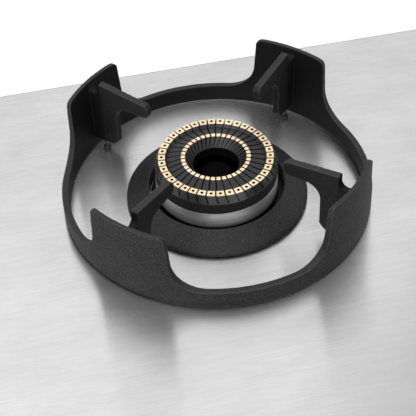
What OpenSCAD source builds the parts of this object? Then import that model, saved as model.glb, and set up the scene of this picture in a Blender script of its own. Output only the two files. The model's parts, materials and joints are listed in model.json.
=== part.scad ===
// Built-in gas cooktop with one double-flame wok burner and a cast-iron wok support.
// Millimetres, +Z up. The origin is under the middle of the plate, at the underside of the box.

/* [Hob plate] */
// Width of the plate, left to right
plate_w = 520; // [516:1:600]
// Depth of the plate, front to back
plate_d = 530; // [526:1:600]
// Thickness of the sheet
plate_t = 1.2; // [0.8:0.1:1.5]
// Height of the turned-down rim
rim_h = 6; // [5:0.5:8]
// Radius of the plate's corners
plate_r = 9; // [6:0.5:14]
// Outer radius of the rolled edge
edge_r = 2.4; // [2:0.1:3]
// From the back edge to the middle of the burner
burner_back = 182; // [176:0.5:200]
// From the front edge to the middle of the knob
knob_front = 48; // [46:1:56]
// Radius of the hole for the burner cup
cup_hole_r = 54; // [53.6:0.1:55]
// Radius of the hole for the spindle
spindle_hole_r = 8; // [7:0.1:9]

/* [Burner box] */
// From the plate's side edges to the box
box_inset_x = 26; // [22:1:32]
// From the plate's front and back edges to the box
box_inset_y = 26; // [22:1:30]
// Height of the box from its floor to the plate
box_h = 58; // [57:0.5:64]
// Thickness of the box's sheet
sheet_t = 1; // [0.8:0.1:1.2]
// Width of the flange that the plate rests on
flange_w = 6; // [5:0.5:6]
// Radius of the box's corners
box_r = 14; // [10:1:20]
// Width of a vent slot in the floor
vent_w = 5; // [3:0.5:8]
// Length of a vent slot
vent_l = 46; // [30:1:60]
// Vent slots in each row
vent_count = 7; // [3:1:8]
// Width of the foam seal under the rim
seal_w = 8; // [6:0.5:9]

/* [Wok support] */
// Outer radius of the ring
ring_r = 130; // [126:0.5:134]
// Thickness of the ring
ring_t = 5.6; // [4.5:0.1:6.5]
// Thickness of a lug at its top
lug_top_t = 3.7; // [3:0.1:4.5]
// Underside of the ring above the plate
ring_low = 2.2; // [2:0.1:5]
// Top of the low stretches of the ring above the plate
band_top = 18; // [15:0.5:22]
// Top of the four lugs above the plate
lug_top = 71; // [68:0.5:74]
// Half the width of a lug at its top
lug_half_w = 33.6; // [30:0.1:36]
// How far a lug's side leans in, degrees
lug_lean = 3; // [0:0.5:6]
// Radius of a lug's top corners
lug_corner_r = 5; // [3:0.5:8]
// Radius of the fillet between a lug and the ring
lug_fillet_r = 25; // [18:1:28]
// Thickness of an arm
arm_t = 5.9; // [5:0.1:8]
// Radius at which the arms end over the burner
arm_tip_r = 65; // [62:0.1:70]
// Radius at which an arm's top ends beside its lug
arm_end_r = 114.8; // [112:0.1:116]
// Top of an arm at its tip
arm_tip_top = 68.8; // [66:0.1:71]
// Top of an arm at its outer end
arm_end_top = 74.4; // [72:0.1:77]
// Underside of an arm
arm_under = 56.4; // [54:0.1:59]
// Radius of the inner edge of an arm's leg
leg_r = 98.8; // [96:0.1:103]
// Underside of a leg above the plate
leg_low = 12.2; // [9:0.1:15]
// Radius of the hollow between an arm and its leg
leg_fillet_r = 13; // [8:0.5:16]
// Depth of the gap between an arm's end and its lug
notch_depth = 12; // [9:0.5:15]
// Radius at which the feet stand
foot_ring_r = 114.5; // [112:0.5:118]
// Radius of a rubber foot
foot_r = 3.4; // [3:0.1:4]

/* [Burner] */
// Outer radius of the enamelled skirt
skirt_r = 76.6; // [74:0.1:80]
// Inner radius of the enamelled skirt
skirt_in_r = 57.2; // [56.5:0.1:58]
// Top of the skirt's inner lip above the plate
skirt_top = 14.9; // [13:0.1:17]
// Outer radius of the burner cup
cup_r = 51.2; // [51:0.1:52]
// Wall of the burner cup
cup_wall = 3; // [2:0.1:3.4]
// Rim of the cup above the plate
cup_top = 25.7; // [25:0.1:27]
// Outer radius of the crown's plain band
crown_r = 51.1; // [50:0.1:52]
// Top of the crown above the plate
crown_top = 42.8; // [42:0.1:44]
// Outer radius of the outer ring of lands
outer_land_r = 47.9; // [47:0.1:49]
// Inner radius of the outer ring of lands
outer_land_in_r = 42.2; // [42:0.1:43.5]
// Outer radius of the inner ring of lands
inner_land_r = 28; // [27.6:0.1:30]
// Inner radius of the inner ring of lands
inner_land_in_r = 25.6; // [25:0.1:26.5]
// Radius of the open middle of the crown
crown_eye_r = 19.4; // [19:0.1:20.5]
// Number of slots round the crown
slot_count = 38; // [24:1:40]
// Width of a slot
slot_w = 1.2; // [0.6:0.1:1.4]
// How far the slots lean, degrees
slot_lean = 19; // [0:1:25]
// Depth of a slot below the crown's surface
slot_depth = 2.4; // [1:0.1:2.6]
// Radius of a flame port in the outer lands
port_r = 1.3; // [0.6:0.05:1.4]
// How far the crown is turned on its cup, degrees
crown_turn = -3.5; // [-180:0.1:180]

/* [Control] */
// Radius of the knob
knob_r = 19; // [17:0.5:22]
// Height of the knob
knob_h = 20; // [18:0.5:24]
// How far the knob goes in when it is pushed
push_travel = 3; // [2:0.5:3]
// Radius of the spindle
spindle_r = 4; // [3.5:0.1:4.5]

/* [Gas and ignition] */
// Outer radius of the inlet's half-inch pipe thread
inlet_thread_r = 10.48; // [8.3:0.01:10.48]
// Length of the inlet's thread
inlet_thread_l = 12; // [10:0.5:14]
// Radius of the manifold pipe
manifold_r = 5; // [4:0.5:6]
// Radius of the two pipes to the burner
gas_pipe_r = 4; // [3:0.5:4.5]
// Radius of the cord's way through the gland
gland_bore_r = 3.75; // [3:0.05:4.5]

/* [Hidden] */
$fn = 96;

// Shared clearances
overrun = 1;
fit_gap = 0.3;
run_gap = 0.06;

// Places in the part's frame
plate_top = box_h + plate_t;
burner_y = plate_d / 2 - burner_back;
knob_y = -plate_d / 2 + knob_front;
support_turn = 45;
box_w = plate_w - 2 * box_inset_x;
box_d = plate_d - 2 * box_inset_y;

// Rows of vents in the box's floor
vent_x = 125;
vent_pitch = 15;
vent_shift = -20;

// Studs of the plate and their nuts, on the box's flange
stud_r = 1.5;
stud_inset = 0.2;
nut_across = 5.5;
nut_h = 2.4;
stud_l = 4.2;
flange_mid = flange_w / 2 - stud_inset;
stud_x = box_w / 2 + flange_mid;
stud_y = box_d / 2 + flange_mid;
stud_spread_share = 0.36;
stud_places = [for (s = [-1, 1], k = [-1, 1]) [s * stud_x, k * stud_y * 2 * stud_spread_share]];
stud_places_y = [for (s = [-1, 1], k = [-1, 1]) [k * stud_x * 2 * stud_spread_share, s * stud_y]];
all_studs = concat(stud_places, stud_places_y);
stud_hole_r = stud_r + fit_gap;

// Support arm details
tip_bevel = 3;
leg_bevel = 5.5;
arm_root = 2;
lug_taper_from = 4;
draft_over = 0.2;
foot_pin_r = 1.5;
foot_pin_bury = 8;
foot_h = 5;

// Skirt section
skirt_foot_r = 67;
skirt_foot_w = 2.4;
skirt_foot_top = 5;
skirt_edge_low = 2;
skirt_rim_h = 3.8;
skirt_bevel = 1;
skirt_wall = 2.2;
skirt_lip_w = 1.3;
skirt_mid_r = 66;
skirt_mid_top = 10.4;

// Cup details
gasket_t = 0.8;
cup_flange_r = 56;
cup_flange_t = 3;
cup_floor_z = -20;
cup_floor_t = 3;
well_r = 16.6;
cup_screw_ring_r = 24;
cup_screw_turns = [30, 150, 270];
cup_screw_r = 2;
cup_screw_head_r = 3.6;
cup_screw_head_h = 2.4;
outer_jet_ring_r = 36;
cup_air_r = 7;

// Crown section
crown_band_top = 35.7;
crown_valley_r = 40.1;
crown_valley_z = 40.2;
crown_eye_top = 35.2;
crown_skirt_gap = 0.35;
crown_skirt_t = 1.4;
crown_skirt_low = 18;
crown_eye_wall = 2.6;
crown_roof_z = 32.4;
crown_eye_low = 26.6;
port_ring_r = (outer_land_r + outer_land_in_r) / 2;

// Venturi and centre cap
venturi_r = 8;
venturi_wall = 1.6;
venturi_foot_r = 13;
venturi_foot_t = 2;
venturi_top = 23;
venturi_mouth_r = 11.5;
venturi_mouth_h = 6;
cap_r = 13;
cap_t = 3.4;
cap_dome = 1.2;
cap_spigot_h = 5;

// Injector body, under the cup
body_disc_r = 42;
body_disc_h = 9;
body_low = 18;
body_post_r = 5;
body_boss_r = 8;
port_z = 27;
port_x = 12;
body_lug_l = 46;
jet_r = 2.5;
jet_hex = 8;
jet_h = 8;
jet_hex_share = 0.5;
jet_hole_r = 0.6;
jet_seat = 4;

// Bridge under the injector body
bridge_w = 30;
bridge_l = 150;
bridge_t = 1.5;
bridge_foot_l = 18;
bridge_screw_r = 2;
bridge_screw_head_r = 3.6;
bridge_screw_head_h = 2;

// Electrode and thermocouple
electrode_turn = -60;
thermo_turn = -120;
ceramic_r = 2.1;
ceramic_top = 23;
ceramic_low = -21.2;
electrode_pin_r = 0.9;
electrode_top = 32.4;
thermo_r = 1.8;
thermo_top = 32;
thermo_neck = 1.2;
thermo_low = -21.2;
lead_r = 1.2;
lead_bend = 3;
lead_z = 34.9;
sleeve_gap = 0.05;

// Knob, bezel and spindle
bezel_r = 22;
bezel_in_r = 9.5;
bezel_h = 2;
bezel_bevel = 0.8;
knob_gap = 0.5;
knob_edge = 1.4;
knob_grip_w = 7;
knob_grip_h = 6;
knob_grip_edge = 1.2;
knob_mark_w = 1.6;
knob_mark_l = 8;
knob_mark_depth = 0.6;
knob_hollow_r = 15;
knob_hollow_h = 8;
knob_hub_r = 7.5;
knob_bore_depth = 13;
spindle_flat = 1;
d_gap = 0.05;

// Valve under the plate
valve_w = 34;
valve_d = 34;
valve_low = 12;
valve_h = 30;
cover_t = 3;
plug_r = 9;
plug_low = 16;
plug_h = 12;
blade_t = 2.4;
blade_l = 9;
blade_h = 6;
blade_gap = 0.15;
blade_share = 0.8;
washer_r = 9;
washer_t = 1.2;
shoulder_r = 6;
shoulder_h = 2;
spring_r = 7.5;
spring_l = 7.5;
spring_wire = 1.2;
plug_gap = 0.06;
magnet_r = 7;
magnet_l = 22;
magnet_case_l = 8;
valve_bracket_t = 1.5;
valve_screw_r = 1.6;
valve_screw_head_r = 3;
valve_screw_head_h = 1.8;
valve_screw_x = 12.5;

// Ignition switch beside the valve's cover
switch_w = 14;
switch_d = 10;
switch_h = 10;
switch_floor_share = 0.33;
plunger_r = 1.3;
tab_w = 5;

// Pipes and inlet
nut_af = 14;
pipe_nut_l = 10;
pipe_seat = 2;
manifold_x = 160;
manifold_bend = 18;
inlet_y = box_d / 2;
inlet_nut_af = 26;
inlet_nut_h = 5;
inlet_body_l = 16;
inlet_bore_r = 6;
inlet_step = 1.5;
inlet_shank_r = inlet_thread_r - inlet_step;

// Electrics
module_w = 56;
module_d = 44;
module_h = 24;
module_x = 84;
module_corner_r = 2;
terminal_w = 34;
terminal_d = 22;
terminal_h = 18;
terminal_pitch = 10;
terminal_hole_r = 3.2;
terminal_inset = 42;
gland_x = -160;
gland_z = 26;
gland_r = 9;
gland_body_r = 6.5;
gland_out = 14;
gland_in = 8;
gland_flange_t = 2;
supply_z = 8;
supply_r = 3;
supply_bend = 12;
supply_run = 36;

// Worktop clamps
clamp_inset = 69;
clamp_ear_w = 16;
clamp_ear_out = 13;
clamp_ear_h = 14;
clamp_ear_t = 2;
clamp_ear_low = 6;
clamp_pivot_out = 7;
clamp_screw_r = 2.5;
clamp_screw_l = 18;
clamp_head_r = 4.5;
clamp_head_h = 3;
clamp_arm_w = 9;
clamp_arm_t = 3;
clamp_arm_l = 20;
clamp_lip_h = 3;

// A block with round upright corners
module rounded_block(w, d, h, r) {
    translate([-w / 2 + r, -d / 2, 0]) cube([w - 2 * r, d, h]);
    translate([-w / 2, -d / 2 + r, 0]) cube([w, d - 2 * r, h]);
    for (x = [-1, 1], y = [-1, 1])
        translate([x * (w / 2 - r), y * (d / 2 - r), 0]) cylinder(r = r, h = h);
}

// A section swept round a rounded rectangle, with its x = 0 at the distance r from the corner centres
module frame_sweep(w, d, corner_r, r) {
    for (k = [0:3]) {
        half_a = (k % 2 == 0 ? w : d) / 2;
        half_b = (k % 2 == 0 ? d : w) / 2;
        rotate(90 * k) {
            translate([half_a - corner_r, half_b - corner_r, 0])
                rotate_extrude(angle = 90) translate([r, 0]) children();
            translate([half_a - corner_r + r, half_b - corner_r, 0])
                rotate([90, 0, 0]) linear_extrude(2 * (half_b - corner_r)) children();
        }
    }
}

// A six-sided nut or head, standing on z = 0
module hexagon(across, h) {
    cylinder(r = across / sqrt(3), h = h, $fn = 6);
}

// A ring standing on z = 0
module ring(outer, inner, h) {
    difference() {
        cylinder(r = outer, h = h);
        translate([0, 0, -overrun]) cylinder(r = inner, h = h + 2 * overrun);
    }
}

// A slot with round ends, cut along z
module slot_cut(l, w, h) {
    cube([l - w, w, h], center = true);
    for (s = [-1, 1]) translate([s * (l - w) / 2, 0, 0]) cylinder(r = w / 2, h = h, center = true);
}

function unit(v) = v / norm(v);

// A cylinder between two points
module rod(a, b, r) {
    d = unit(b - a);
    translate(a) rotate([0, acos(d[2]), atan2(d[1], d[0])]) cylinder(r = r, h = norm(b - a), $fn = 32);
}

// A quarter bend at corner p, coming in along d1 and leaving along d2
module bend_at(p, d1, d2, b, r) {
    n = cross(d1, d2);
    c = p - d1 * b + d2 * b;
    multmatrix([[-d2[0], d1[0], n[0], c[0]], [-d2[1], d1[1], n[1], c[1]], [-d2[2], d1[2], n[2], c[2]]])
        rotate_extrude(angle = 90, $fn = 64) translate([b, 0]) circle(r = r, $fn = 32);
}

// A tube through points that turn by right angles, with bends of radius b
module tube_path(points, r, b) {
    last = len(points) - 1;
    for (k = [0:last - 1]) {
        d = unit(points[k + 1] - points[k]);
        from = points[k] + (k == 0 ? 0 : b) * d;
        to = points[k + 1] - (k + 1 == last ? 0 : b) * d;
        rod(from, to, r);
        if (k > 0) bend_at(points[k], unit(points[k] - points[k - 1]), d, b, r);
    }
}

// Places that follow the burner or the knob
module at_burner() {
    translate([0, burner_y, plate_top]) children();
}

module at_knob() {
    translate([0, knob_y, 0]) children();
}

// Hob plate: flat sheet, rolled rim and welded studs
module rim_section() {
    difference() {
        intersection() {
            translate([0, plate_top - edge_r]) circle(r = edge_r);
            translate([0, plate_top - edge_r]) square([edge_r, edge_r]);
        }
        translate([0, plate_top - edge_r]) circle(r = edge_r - plate_t);
    }
    translate([edge_r - plate_t, plate_top - rim_h]) square([plate_t, rim_h - edge_r]);
}

module hob_plate() {
    color([0.82, 0.82, 0.81]) {
        difference() {
            translate([0, 0, plate_top - plate_t])
                rounded_block(plate_w - 2 * edge_r, plate_d - 2 * edge_r, plate_t, plate_r - edge_r);
            translate([0, burner_y, box_h - overrun]) cylinder(r = cup_hole_r, h = plate_t + 2 * overrun);
            translate([0, knob_y, box_h - overrun]) cylinder(r = spindle_hole_r, h = plate_t + 2 * overrun);
        }
        frame_sweep(plate_w, plate_d, plate_r, plate_r - edge_r) rim_section();
        for (p = all_studs) translate([p[0], p[1], box_h - stud_l])
            cylinder(r = stud_r, h = stud_l + plate_t / 2);
    }
}

// Foam frame between the plate and the worktop, inside the rim
module worktop_seal() {
    seal_out_x = plate_w - 2 * plate_t - 2 * fit_gap;
    seal_out_y = plate_d - 2 * plate_t - 2 * fit_gap;
    seal_h = rim_h - plate_t;
    color([0.2, 0.2, 0.2]) translate([0, 0, plate_top - rim_h]) difference() {
        rounded_block(seal_out_x, seal_out_y, seal_h - edge_r, plate_r);
        translate([0, 0, -overrun])
            rounded_block(seal_out_x - 2 * seal_w, seal_out_y - 2 * seal_w, seal_h + 2 * overrun, plate_r);
    }
    color([0.2, 0.2, 0.2]) translate([0, 0, plate_top - rim_h]) difference() {
        rounded_block(seal_out_x - 2 * edge_r, seal_out_y - 2 * edge_r, seal_h, plate_r - edge_r);
        translate([0, 0, -overrun])
            rounded_block(seal_out_x - 2 * seal_w, seal_out_y - 2 * seal_w, seal_h + 2 * overrun, plate_r);
    }
}

// Box under the plate
module vent_rows() {
    first_y = vent_shift - (vent_count - 1) / 2 * vent_pitch;
    for (s = [-1, 1], k = [0:vent_count - 1])
        translate([s * vent_x, first_y + k * vent_pitch, 0]) slot_cut(vent_l, vent_w, 4 * sheet_t);
}

module burner_box() {
    color([0.62, 0.63, 0.64]) difference() {
        union() {
            rounded_block(box_w, box_d, box_h, box_r);
            translate([0, 0, box_h - sheet_t])
                rounded_block(box_w + 2 * flange_w, box_d + 2 * flange_w, sheet_t, box_r + flange_w);
        }
        translate([0, 0, sheet_t])
            rounded_block(box_w - 2 * sheet_t, box_d - 2 * sheet_t, box_h, box_r - sheet_t);
        vent_rows();
        for (p = all_studs) translate([p[0], p[1], box_h - 2 * sheet_t])
            cylinder(r = stud_hole_r, h = 3 * sheet_t);
        translate([manifold_x, inlet_y - 2 * sheet_t, port_z]) rotate([-90, 0, 0])
            cylinder(r = inlet_shank_r + fit_gap, h = 4 * sheet_t);
        translate([gland_x, inlet_y - 2 * sheet_t, gland_z]) rotate([-90, 0, 0])
            cylinder(r = gland_body_r + fit_gap, h = 4 * sheet_t);
    }
}

// A nut on a stud, turned so that one of its flats faces the box's wall
module box_nut(p, turn) {
    translate([p[0], p[1], box_h - sheet_t - nut_h]) rotate(turn) difference() {
        hexagon(nut_across, nut_h);
        translate([0, 0, -overrun]) cylinder(r = stud_r + run_gap, h = nut_h + 2 * overrun);
    }
}

module box_nuts() {
    color([0.7, 0.7, 0.7]) {
        for (p = stud_places) box_nut(p, 30);
        for (p = stud_places_y) box_nut(p, 0);
    }
}

// Bridge, a hat-shaped bar on the box's floor
module burner_bridge() {
    color([0.6, 0.6, 0.6]) translate([-bridge_w / 2, burner_y, 0]) difference() {
        union() {
            translate([0, -bridge_l / 2, body_low - bridge_t]) cube([bridge_w, bridge_l, bridge_t]);
            for (s = [-1, 1]) {
                translate([0, s * (bridge_l / 2 - bridge_t / 2) - bridge_t / 2, sheet_t])
                    cube([bridge_w, bridge_t, body_low - sheet_t]);
                translate([0, s * (bridge_screw_y() - bridge_t) - bridge_foot_l / 2, sheet_t])
                    cube([bridge_w, bridge_foot_l, bridge_t]);
            }
        }
        for (s = [-1, 1]) translate([bridge_w / 2, s * bridge_screw_y(), 0])
            cylinder(r = bridge_screw_r + fit_gap, h = body_low);
    }
}

function bridge_screw_y() = bridge_l / 2 + bridge_foot_l / 2;

module bridge_screws() {
    color([0.75, 0.75, 0.75]) for (s = [-1, 1]) translate([0, burner_y + s * bridge_screw_y(), sheet_t]) {
        cylinder(r = bridge_screw_r, h = bridge_t + bridge_screw_head_h);
        translate([0, 0, bridge_t]) cylinder(r = bridge_screw_head_r, h = bridge_screw_head_h);
    }
}

// Injector body: a disc with posts up to the cup, two gas ways and the jets' seats
module injector_body() {
    cup_under = plate_top + cup_floor_z;
    color([0.7, 0.7, 0.72]) translate([0, burner_y, 0]) difference() {
        union() {
            translate([0, 0, body_low]) cylinder(r = body_disc_r, h = body_disc_h);
            for (a = cup_screw_turns) rotate(a) translate([cup_screw_ring_r, 0, body_low])
                cylinder(r = body_post_r, h = cup_under - body_low);
            translate([0, 0, body_low]) cylinder(r = body_boss_r, h = body_disc_h + jet_seat);
            translate([0, -outer_jet_ring_r, body_low]) cylinder(r = body_boss_r, h = body_disc_h + jet_seat);
            for (s = [-1, 1]) translate([s * port_x, 0, port_z]) rotate([90, 0, 0])
                cylinder(r = gas_pipe_r + pipe_seat, h = body_lug_l + overrun);
        }
        for (a = cup_screw_turns) rotate(a) translate([cup_screw_ring_r, 0, cup_under - body_post_r * 2])
            cylinder(r = cup_screw_r + run_gap, h = body_post_r * 2 + overrun);
        for (y = [0, -outer_jet_ring_r]) translate([0, y, body_low + body_disc_h - 2 * overrun])
            cylinder(r = jet_r + run_gap, h = jet_seat + 3 * overrun);
        for (s = [-1, 1]) translate([s * port_x, -body_lug_l - 2 * overrun, port_z]) rotate([-90, 0, 0])
            cylinder(r = gas_pipe_r + run_gap, h = pipe_seat + 2 * overrun);
    }
}

// A brass jet whose shank sits in the body's seat
module jet() {
    jet_shank = jet_seat + overrun;
    difference() {
        union() {
            translate([0, 0, -jet_shank]) cylinder(r = jet_r, h = jet_shank);
            hexagon(jet_hex, jet_h * jet_hex_share);
            cylinder(r = jet_r, h = jet_h);
        }
        translate([0, 0, -jet_shank - overrun]) cylinder(r = jet_hole_r, h = jet_h + jet_shank + overrun);
    }
}

module inner_injector() {
    color([0.85, 0.68, 0.35]) translate([0, burner_y, body_low + body_disc_h + jet_seat]) jet();
}

module outer_injector() {
    color([0.85, 0.68, 0.35])
        translate([0, burner_y - outer_jet_ring_r, body_low + body_disc_h + jet_seat]) jet();
}

// Burner cup, with its flange on a gasket on the plate
module burner_gasket() {
    color([0.75, 0.72, 0.65]) at_burner() ring(cup_flange_r, cup_r + fit_gap, gasket_t);
}

module burner_cup() {
    cup_depth = cup_top - cup_floor_z;
    color([0.72, 0.72, 0.73]) at_burner() difference() {
        union() {
            translate([0, 0, cup_floor_z]) cylinder(r = cup_r, h = cup_depth);
            translate([0, 0, gasket_t]) cylinder(r = cup_flange_r, h = cup_flange_t);
        }
        translate([0, 0, cup_floor_z + cup_floor_t]) cylinder(r = cup_r - cup_wall, h = cup_depth);
        for (y = [0, -outer_jet_ring_r]) translate([0, y, cup_floor_z - overrun])
            cylinder(r = cup_air_r, h = cup_floor_t + 2 * overrun);
        for (a = cup_screw_turns) rotate(a) translate([cup_screw_ring_r, 0, cup_floor_z - overrun])
            cylinder(r = cup_screw_r + fit_gap, h = cup_floor_t + 2 * overrun);
        for (a = [electrode_turn, thermo_turn]) rotate(a) translate([well_r, 0, cup_floor_z - overrun])
            cylinder(r = ceramic_r + sleeve_gap, h = cup_floor_t + 2 * overrun);
    }
}

module cup_screws() {
    color([0.75, 0.75, 0.75]) at_burner() for (a = cup_screw_turns) rotate(a)
        translate([cup_screw_ring_r, 0, cup_floor_z + cup_floor_t]) {
            cylinder(r = cup_screw_head_r, h = cup_screw_head_h);
            translate([0, 0, -cup_floor_t - body_post_r])
                cylinder(r = cup_screw_r, h = cup_floor_t + body_post_r);
        }
}

// Mixing tube of the inner flame, standing on the cup's floor
module venturi_tube() {
    low = cup_floor_z + cup_floor_t;
    mouth_low = venturi_top - venturi_mouth_h;
    color([0.7, 0.7, 0.72]) at_burner() rotate_extrude() polygon([
        [venturi_r, low], [venturi_foot_r, low], [venturi_foot_r, low + venturi_foot_t],
        [venturi_r + venturi_wall, low + venturi_foot_t], [venturi_r + venturi_wall, mouth_low],
        [venturi_mouth_r, venturi_top], [venturi_mouth_r - venturi_wall, venturi_top],
        [venturi_r, mouth_low]]);
}

// Spark electrode and thermocouple, in the open middle of the crown
module in_well(turn) {
    at_burner() rotate(turn) translate([well_r, 0, 0]) children();
}

module spark_electrode_ceramic() {
    color([0.93, 0.92, 0.88]) in_well(electrode_turn) difference() {
        translate([0, 0, ceramic_low]) cylinder(r = ceramic_r, h = ceramic_top - ceramic_low);
        translate([0, 0, ceramic_low - overrun])
            cylinder(r = electrode_pin_r + sleeve_gap, h = ceramic_top - ceramic_low + 2 * overrun);
    }
}

module spark_electrode_pin() {
    color([0.6, 0.6, 0.6]) in_well(electrode_turn)
        translate([0, 0, ceramic_low]) cylinder(r = electrode_pin_r, h = electrode_top - ceramic_low);
}

module thermocouple_tip() {
    color([0.75, 0.7, 0.62]) in_well(thermo_turn) {
        translate([0, 0, thermo_low]) cylinder(r = ceramic_r, h = -thermo_low);
        cylinder(r = thermo_r, h = thermo_top - thermo_neck);
        translate([0, 0, thermo_top - thermo_neck])
            cylinder(r1 = thermo_r, r2 = thermo_neck, h = thermo_neck);
    }
}

function well_place(turn) = [well_r * cos(turn), burner_y + well_r * sin(turn)];

module thermocouple_lead() {
    p = well_place(thermo_turn);
    start_z = plate_top + thermo_low;
    run_x = -2 * body_disc_r;
    end_x = -valve_w / 2 - magnet_l;
    color([0.75, 0.45, 0.3]) tube_path([[p[0], p[1], start_z], [p[0], p[1], lead_z], [run_x, p[1], lead_z],
        [run_x, knob_y, lead_z], [end_x, knob_y, lead_z]], lead_r, lead_bend);
}

module spark_lead() {
    p = well_place(electrode_turn);
    start_z = plate_top + ceramic_low;
    color([0.25, 0.25, 0.27]) tube_path([[p[0], p[1], start_z], [p[0], p[1], lead_z],
        [module_x, p[1], lead_z], [module_x, p[1], sheet_t + module_h]], lead_r, lead_bend);
}

// Enamelled skirt: it stands on the plate by a foot ring, and its edge stays just above the plate
module burner_skirt() {
    low_in = gasket_t + cup_flange_t + fit_gap;
    lip_r = skirt_in_r + skirt_lip_w;
    color([0.19, 0.19, 0.2]) at_burner() rotate_extrude($fn = 192) polygon([
        [skirt_foot_r, 0], [skirt_foot_r + skirt_foot_w, 0], [skirt_foot_r + skirt_foot_w, skirt_foot_top],
        [skirt_r - skirt_bevel, skirt_edge_low], [skirt_r, skirt_edge_low], [skirt_r, skirt_rim_h],
        [skirt_r - skirt_bevel, skirt_rim_h + skirt_bevel], [skirt_mid_r, skirt_mid_top],
        [lip_r + skirt_bevel, skirt_top - skirt_bevel], [lip_r, skirt_top],
        [skirt_in_r, skirt_top], [skirt_in_r, low_in], [skirt_in_r + skirt_wall, low_in],
        [skirt_in_r + skirt_wall, skirt_top - 2 * skirt_wall],
        [skirt_foot_r, skirt_mid_top - 2 * skirt_wall]]);
}

// Crown section, right of the axis; z from the plate
crown_bowl = [[outer_land_r, crown_top], [outer_land_in_r, crown_top], [crown_valley_r, crown_valley_z],
    [inner_land_r, crown_top], [inner_land_in_r, crown_top], [crown_eye_r, crown_eye_top]];
skirt_out_r = cup_r - cup_wall - crown_skirt_gap;

module crown_body() {
    rotate_extrude($fn = 192) polygon(concat([
        [crown_r, cup_top], [crown_r, crown_band_top]],
        crown_bowl, [
        [crown_eye_r, crown_eye_low], [crown_eye_r + crown_eye_wall, crown_eye_low],
        [crown_eye_r + crown_eye_wall, crown_roof_z], [skirt_out_r - crown_skirt_t, crown_roof_z],
        [skirt_out_r - crown_skirt_t, crown_skirt_low], [skirt_out_r, crown_skirt_low],
        [skirt_out_r, cup_top]]));
}

// A leaning blade that cuts one slot over the lands, the valley and both flanks
module slot_blade() {
    d = slot_depth;
    out_low = crown_band_top + fit_gap;
    in_low = crown_eye_top + fit_gap;
    inner_mid_r = (inner_land_in_r + inner_land_r) / 2;
    translate([0, 0, crown_top]) rotate([90 + slot_lean, 0, 0]) translate([0, -crown_top, 0])
        linear_extrude(slot_w, center = true) polygon([
            [crown_r + overrun, out_low], [crown_r + overrun, crown_top + overrun],
            [crown_eye_r - overrun, crown_top + overrun], [crown_eye_r - overrun, in_low],
            [crown_eye_r + d / 2, in_low], [inner_mid_r, crown_top - d],
            [crown_valley_r, crown_valley_z - d], [outer_land_in_r + d / 2, crown_top - d],
            [outer_land_r - d / 2, crown_top - d], [crown_r - d, out_low]]);
}

module burner_crown() {
    half_pitch = 180 / slot_count;
    color([0.16, 0.16, 0.17]) at_burner() rotate(crown_turn) difference() {
        crown_body();
        for (k = [0:slot_count - 1]) rotate(half_pitch + 2 * half_pitch * k) slot_blade();
        for (k = [0:slot_count - 1]) rotate(2 * half_pitch * k)
            translate([port_ring_r, 0, crown_roof_z - overrun])
                cylinder(r = port_r, h = crown_top - crown_roof_z + 2 * overrun, $fn = 24);
    }
}

// Cap over the inner flame's tube, with a spigot that drops into the tube's mouth
module centre_cap() {
    spigot_r = venturi_r - 2 * fit_gap;
    color([0.14, 0.14, 0.15]) at_burner() translate([0, 0, venturi_top]) rotate_extrude() polygon([
        [0, -cap_spigot_h], [spigot_r, -cap_spigot_h], [spigot_r, 0], [cap_r, 0], [cap_r, cap_t - cap_dome],
        [cap_r - cap_dome, cap_t], [0, cap_t]]);
}

// Wok support. One arm in section: x is the radius, y the height above the plate
module arm_section() {
    root_r = ring_r - lug_top_t + arm_root / 2;
    fillet = [leg_r - leg_fillet_r, arm_under - leg_fillet_r];
    slope = (arm_end_top - arm_tip_top) / (arm_end_r - arm_tip_r);
    notch_r = (ring_r - lug_top_t - arm_end_r) / 2;
    notch_floor = arm_end_top - notch_depth;
    difference() {
        polygon([[arm_tip_r, arm_tip_top - tip_bevel],
            [arm_tip_r + tip_bevel, arm_tip_top + slope * tip_bevel],
            [arm_end_r, arm_end_top], [arm_end_r, notch_floor + notch_r], [root_r, notch_floor + notch_r],
            [root_r, leg_low], [leg_r + leg_bevel, leg_low], [leg_r, leg_low + leg_bevel],
            [leg_r, fillet[1]], [fillet[0], arm_under], [arm_tip_r + tip_bevel, arm_under],
            [arm_tip_r, arm_under + tip_bevel]]);
        translate(fillet) circle(r = leg_fillet_r);
        translate([arm_end_r + notch_r, notch_floor + notch_r]) circle(r = notch_r);
        translate([arm_end_r, notch_floor + notch_r]) square([2 * notch_r, notch_depth]);
    }
}

// One lug seen from outside: x across, y the height above the plate
module lug_outline() {
    lean_w = tan(lug_lean);
    corner_y = lug_top - lug_corner_r;
    corner_x = lug_half_w + lean_w * lug_corner_r - lug_corner_r / cos(lug_lean);
    fillet_y = band_top + lug_fillet_r;
    fillet_x = lug_half_w + lean_w * (lug_top - fillet_y) + lug_fillet_r / cos(lug_lean);
    side = [cos(lug_lean), sin(lug_lean)];
    for (s = [0, 1]) mirror([s, 0]) {
        difference() {
            polygon([[-overrun, lug_top], [corner_x, lug_top],
                [corner_x + lug_corner_r * side[0], corner_y + lug_corner_r * side[1]],
                [fillet_x - lug_fillet_r * side[0], fillet_y - lug_fillet_r * side[1]],
                [fillet_x, band_top], [fillet_x, ring_low + overrun], [-overrun, ring_low + overrun]]);
            translate([fillet_x, fillet_y]) circle(r = lug_fillet_r);
        }
        translate([corner_x, corner_y]) circle(r = lug_corner_r);
    }
}

// What thins the lugs towards their tops, cut from their inner faces
module lug_draft() {
    in_r = ring_r - ring_t;
    from_z = band_top + lug_taper_from;
    rise = (lug_top - from_z) / (ring_t - lug_top_t);
    polygon([[in_r - draft_over, from_z - draft_over * rise], [in_r - draft_over, lug_top + draft_over * rise],
        [ring_r - lug_top_t + draft_over, lug_top + draft_over * rise]]);
}

module foot_at() {
    at_burner() rotate(support_turn) for (k = [0:3]) rotate(90 * k) translate([foot_ring_r, 0, 0]) children();
}

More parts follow.
